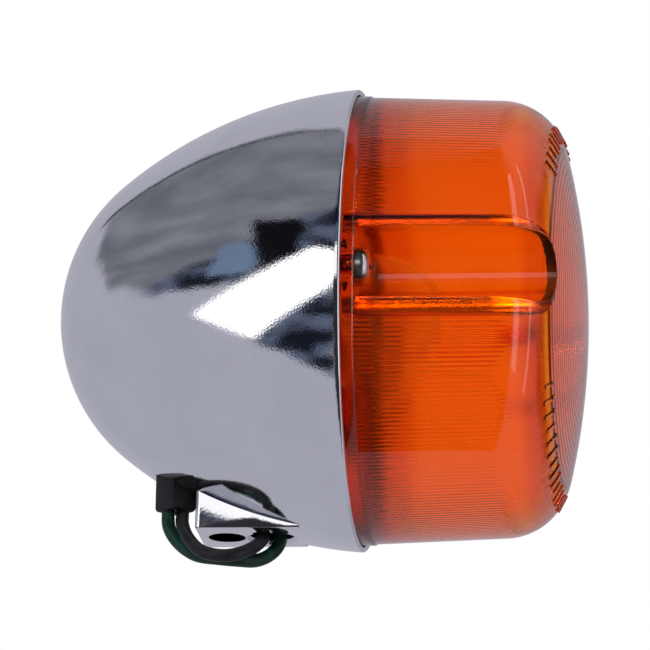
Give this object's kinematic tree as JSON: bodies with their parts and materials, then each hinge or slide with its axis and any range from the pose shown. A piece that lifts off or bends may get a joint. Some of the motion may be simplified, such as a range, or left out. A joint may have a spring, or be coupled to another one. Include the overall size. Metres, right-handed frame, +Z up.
{
  "type": "turn signal indicator",
  "caption": "Round motorcycle turn signal: chrome bullet housing on a stud boss, deep amber lens held by two screws, bayonet bulb in a sprung socket.",
  "frame": {"origin": "mouth of the tapped stud hole, in the flat face of the boss under the housing", "axes": "+X along the lamp from the housing's nose to the lens, +Z up through the boss to the lamp axis, which is parallel to X and 39.5 mm above the origin"},
  "size_m": [0.094, 0.0824, 0.0871],
  "materials": {
    "housing_chrome": "polished chrome plate on a die casting",
    "reflector_bright": "bright spun aluminium",
    "amber_plastic": "clear amber moulding, fluted side",
    "plated_steel": "zinc plated, lightly worn",
    "spring_steel": "drawn wire",
    "brass": "dull brass",
    "brown_board": "pressed fibre board",
    "black_glass": "black vitrite",
    "solder": "solder dome",
    "clear_glass": "clear blown glass",
    "tungsten": "drawn tungsten",
    "black_rubber": "moulded black rubber",
    "black_wire_cover": "soft black insulation",
    "green_wire_cover": "soft dark green insulation"
  },
  "bodies": {
    "lamp": {"housing": "housing_chrome", "reflector": "reflector_bright", "lens_gasket": "black_rubber", "socket_shell": "plated_steel", "socket_bracket": "plated_steel", "bracket_screws": "plated_steel", "socket_back_plate": "brown_board", "signal_terminal": "brass", "contact_spring": "spring_steel", "earth_tag": "plated_steel", "grommet": "black_rubber", "signal_wire": "black_wire_cover", "earth_wire": "green_wire_cover", "wire_terminals": "brass"},
    "lens": {"lens": "amber_plastic", "lens_channel_left": "amber_plastic", "lens_channel_right": "amber_plastic"},
    "left_screw": {"lens_screw_left": "plated_steel"},
    "right_screw": {"lens_screw_right": "plated_steel"},
    "bulb": {"bulb_cap": "brass", "bulb_pins": "brass", "bulb_insulator": "black_glass", "bulb_contact": "solder", "bulb_glass": "clear_glass", "bulb_stem": "clear_glass", "filament": "tungsten", "filament_leads": "tungsten"},
    "contact": {"contact_carrier": "brown_board", "contact_button": "brass"}
  },
  "joints": [
    {"name": "lens_slide", "type": "slide", "parent": "lamp", "child": "lens", "axis": [1, 0, 0], "range_m": [0, 0.045]},
    {"name": "left_screw_turn", "type": "hinge", "parent": "lens", "child": "left_screw", "pos_m": [0.0236, -0.0348, 0.0395], "axis": [1, 0, 0], "continuous": true},
    {"name": "right_screw_turn", "type": "hinge", "parent": "lens", "child": "right_screw", "pos_m": [0.0236, 0.0348, 0.0395], "axis": [1, 0, 0], "continuous": true},
    {"name": "bulb_push", "type": "slide", "parent": "lamp", "child": "bulb", "axis": [-1, 0, 0], "range_m": [0, 0.0015], "stiffness_N_per_m": 1500, "springref_m": -0.0015, "deforming": ["contact_spring"]},
    {"name": "contact_slide", "type": "slide", "parent": "lamp", "child": "contact", "axis": [-1, 0, 0], "range_m": [0, 0.0015], "stiffness_N_per_m": 200}
  ],
  "couplings": [
    {"joint": "contact_slide", "follows": "bulb_push", "ratio": 1}
  ]
}
